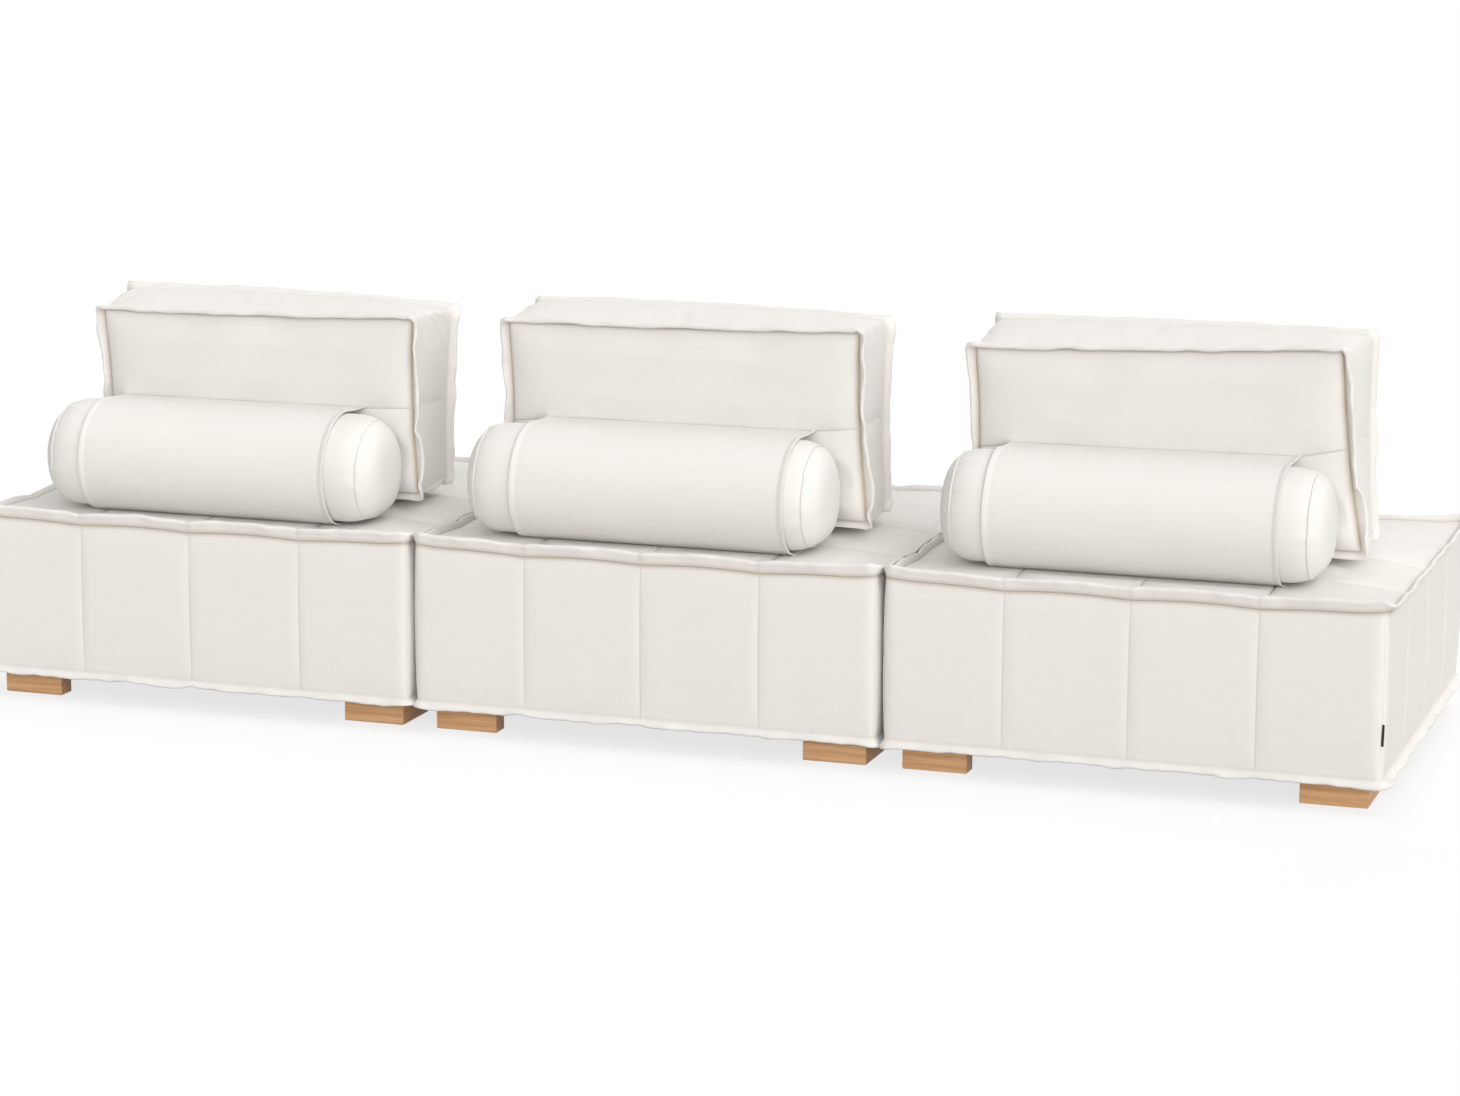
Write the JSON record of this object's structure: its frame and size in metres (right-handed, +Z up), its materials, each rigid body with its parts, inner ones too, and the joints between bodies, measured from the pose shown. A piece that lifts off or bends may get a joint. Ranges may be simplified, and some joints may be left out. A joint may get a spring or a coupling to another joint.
{
  "type": "modular sofa",
  "caption": "Low modular sofa of square quilted seat blocks on wooden corner feet, with loose flanged back cushions and bolsters held in sleeves.",
  "frame": {"origin": "floor level under the middle of the row", "axes": "+X along the row, to the right of someone facing the front; the sitter faces -Y; +Z up"},
  "size_m": [2.849, 0.949, 0.7928],
  "materials": {
    "linen": "matt slubby linen weave",
    "foam": "open-cell foam and fibre filling",
    "webbing": "elastic woven strap",
    "dust_cloth": "black non-woven cloth",
    "tab": "plain black woven tab",
    "frame_wood": "sawn pine",
    "foot_wood": "clear matt oiled light wood",
    "steel": "zinc-plated"
  },
  "bodies": {
    "left_base": {"left_frame_rails": "frame_wood", "left_stretcher": "frame_wood", "left_corner_blocks": "frame_wood", "left_webbing": "webbing", "left_seat_foam": "foam", "left_side_padding": "foam", "left_base_cover": "linen", "left_dust_cover": "dust_cloth", "left_foot_rear_right": "foot_wood", "left_foot_rear_left": "foot_wood", "left_foot_front_right": "foot_wood", "left_foot_front_left": "foot_wood", "left_foot_bolts": "steel", "left_tee_nuts": "steel", "left_label_tab": "tab"},
    "left_back": {"left_back_cover": "linen", "left_back_core": "foam", "left_bolster_sleeve": "linen"},
    "left_bolster": {"left_bolster_cover": "linen", "left_bolster_core": "foam"},
    "middle_base": {"middle_frame_rails": "frame_wood", "middle_stretcher": "frame_wood", "middle_corner_blocks": "frame_wood", "middle_webbing": "webbing", "middle_seat_foam": "foam", "middle_side_padding": "foam", "middle_base_cover": "linen", "middle_dust_cover": "dust_cloth", "middle_foot_rear_right": "foot_wood", "middle_foot_rear_left": "foot_wood", "middle_foot_front_right": "foot_wood", "middle_foot_front_left": "foot_wood", "middle_foot_bolts": "steel", "middle_tee_nuts": "steel"},
    "middle_back": {"middle_back_cover": "linen", "middle_back_core": "foam", "middle_bolster_sleeve": "linen"},
    "middle_bolster": {"middle_bolster_cover": "linen", "middle_bolster_core": "foam"},
    "right_base": {"right_frame_rails": "frame_wood", "right_stretcher": "frame_wood", "right_corner_blocks": "frame_wood", "right_webbing": "webbing", "right_seat_foam": "foam", "right_side_padding": "foam", "right_base_cover": "linen", "right_dust_cover": "dust_cloth", "right_foot_rear_right": "foot_wood", "right_foot_rear_left": "foot_wood", "right_foot_front_right": "foot_wood", "right_foot_front_left": "foot_wood", "right_foot_bolts": "steel", "right_tee_nuts": "steel"},
    "right_back": {"right_back_cover": "linen", "right_back_core": "foam", "right_bolster_sleeve": "linen"},
    "right_bolster": {"right_bolster_cover": "linen", "right_bolster_core": "foam"}
  },
  "joints": [
    {"name": "left_module_slide", "type": "slide", "parent": "middle_base", "child": "left_base", "axis": [-1, 0, 0], "range_m": [0, 0.6]},
    {"name": "right_module_slide", "type": "slide", "parent": "middle_base", "child": "right_base", "axis": [1, 0, 0], "range_m": [0, 0.6]},
    {"name": "left_back_lift", "type": "slide", "parent": "left_base", "child": "left_back", "axis": [0, 0, 1], "range_m": [0, 0.6]},
    {"name": "middle_back_lift", "type": "slide", "parent": "middle_base", "child": "middle_back", "axis": [0, 0, 1], "range_m": [0, 0.6]},
    {"name": "right_back_lift", "type": "slide", "parent": "right_base", "child": "right_back", "axis": [0, 0, 1], "range_m": [0, 0.6]},
    {"name": "left_bolster_slide", "type": "slide", "parent": "left_back", "child": "left_bolster", "axis": [-1, 0, 0], "range_m": [0, 0.64]},
    {"name": "middle_bolster_slide", "type": "slide", "parent": "middle_back", "child": "middle_bolster", "axis": [1, 0, 0], "range_m": [-0.15, 0.15]},
    {"name": "right_bolster_slide", "type": "slide", "parent": "right_back", "child": "right_bolster", "axis": [1, 0, 0], "range_m": [0, 0.64]}
  ]
}
